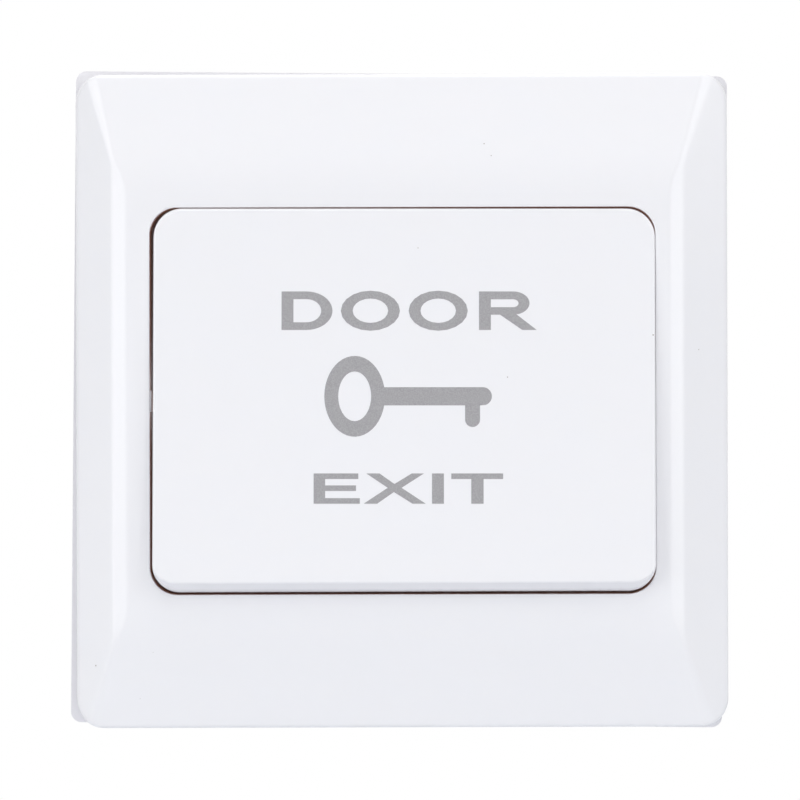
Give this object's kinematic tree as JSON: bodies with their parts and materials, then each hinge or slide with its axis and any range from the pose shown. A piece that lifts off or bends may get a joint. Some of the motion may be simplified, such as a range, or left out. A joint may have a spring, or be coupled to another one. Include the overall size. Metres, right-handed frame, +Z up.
{
  "type": "wall-mounted exit push button",
  "caption": "Square wall plate with a wide sprung rocker button that closes a momentary contact when its lower edge is pressed.",
  "frame": {"origin": "point of the wall on which the plate is centred, in the plane of the plate's back face", "axes": "+Z up, +Y into the wall, the button faces -Y"},
  "size_m": [0.087, 0.0222, 0.087],
  "materials": {
    "white_abs": "semi-gloss moulded white plastic",
    "plate_abs": "fine satin moulded plastic",
    "inner_plastic": "natural white nylon",
    "lid_plastic": "black moulded plastic",
    "brass": "stamped, slightly dulled",
    "silver": "silver contact rivet",
    "zinc_steel": "zinc plated",
    "spring_steel": "drawn spring wire"
  },
  "bodies": {
    "base": {"wall_plate": "plate_abs", "front_cover": "white_abs", "mechanism_housing": "inner_plastic", "rear_lid": "lid_plastic", "com_contact": "silver", "no_contact": "silver", "com_terminal": "brass", "no_terminal": "brass", "com_wire_clamp": "zinc_steel", "no_wire_clamp": "zinc_steel", "com_terminal_screw": "zinc_steel", "no_terminal_screw": "zinc_steel", "housing_screw_left": "zinc_steel", "housing_screw_right": "zinc_steel", "plunger_spring": "spring_steel", "button_spring_left": "spring_steel", "button_spring_right": "spring_steel"},
    "button": {"button_cap": "white_abs", "rocker_carrier": "inner_plastic"},
    "plunger": {"plunger": "inner_plastic", "contact_bridge": "brass", "bridge_contact_left": "silver", "bridge_contact_right": "silver", "contact_spring": "spring_steel"}
  },
  "joints": [
    {"name": "button_hinge", "type": "hinge", "parent": "base", "child": "button", "pos_m": [0, -0.0056, 0.02032], "axis": [1, 0, 0], "range_deg": [0, 3.23], "stiffness_Nm_per_rad": 1.58, "springref_deg": -2.66, "deforming": ["button_spring_left", "button_spring_right"]},
    {"name": "plunger_slide", "type": "slide", "parent": "base", "child": "plunger", "axis": [0, 1, 0], "range_m": [0, 0.0016], "deforming": ["plunger_spring"]}
  ],
  "couplings": [
    {"joint": "plunger_slide", "follows": "button_hinge", "m_per_rad": 0.02835}
  ]
}
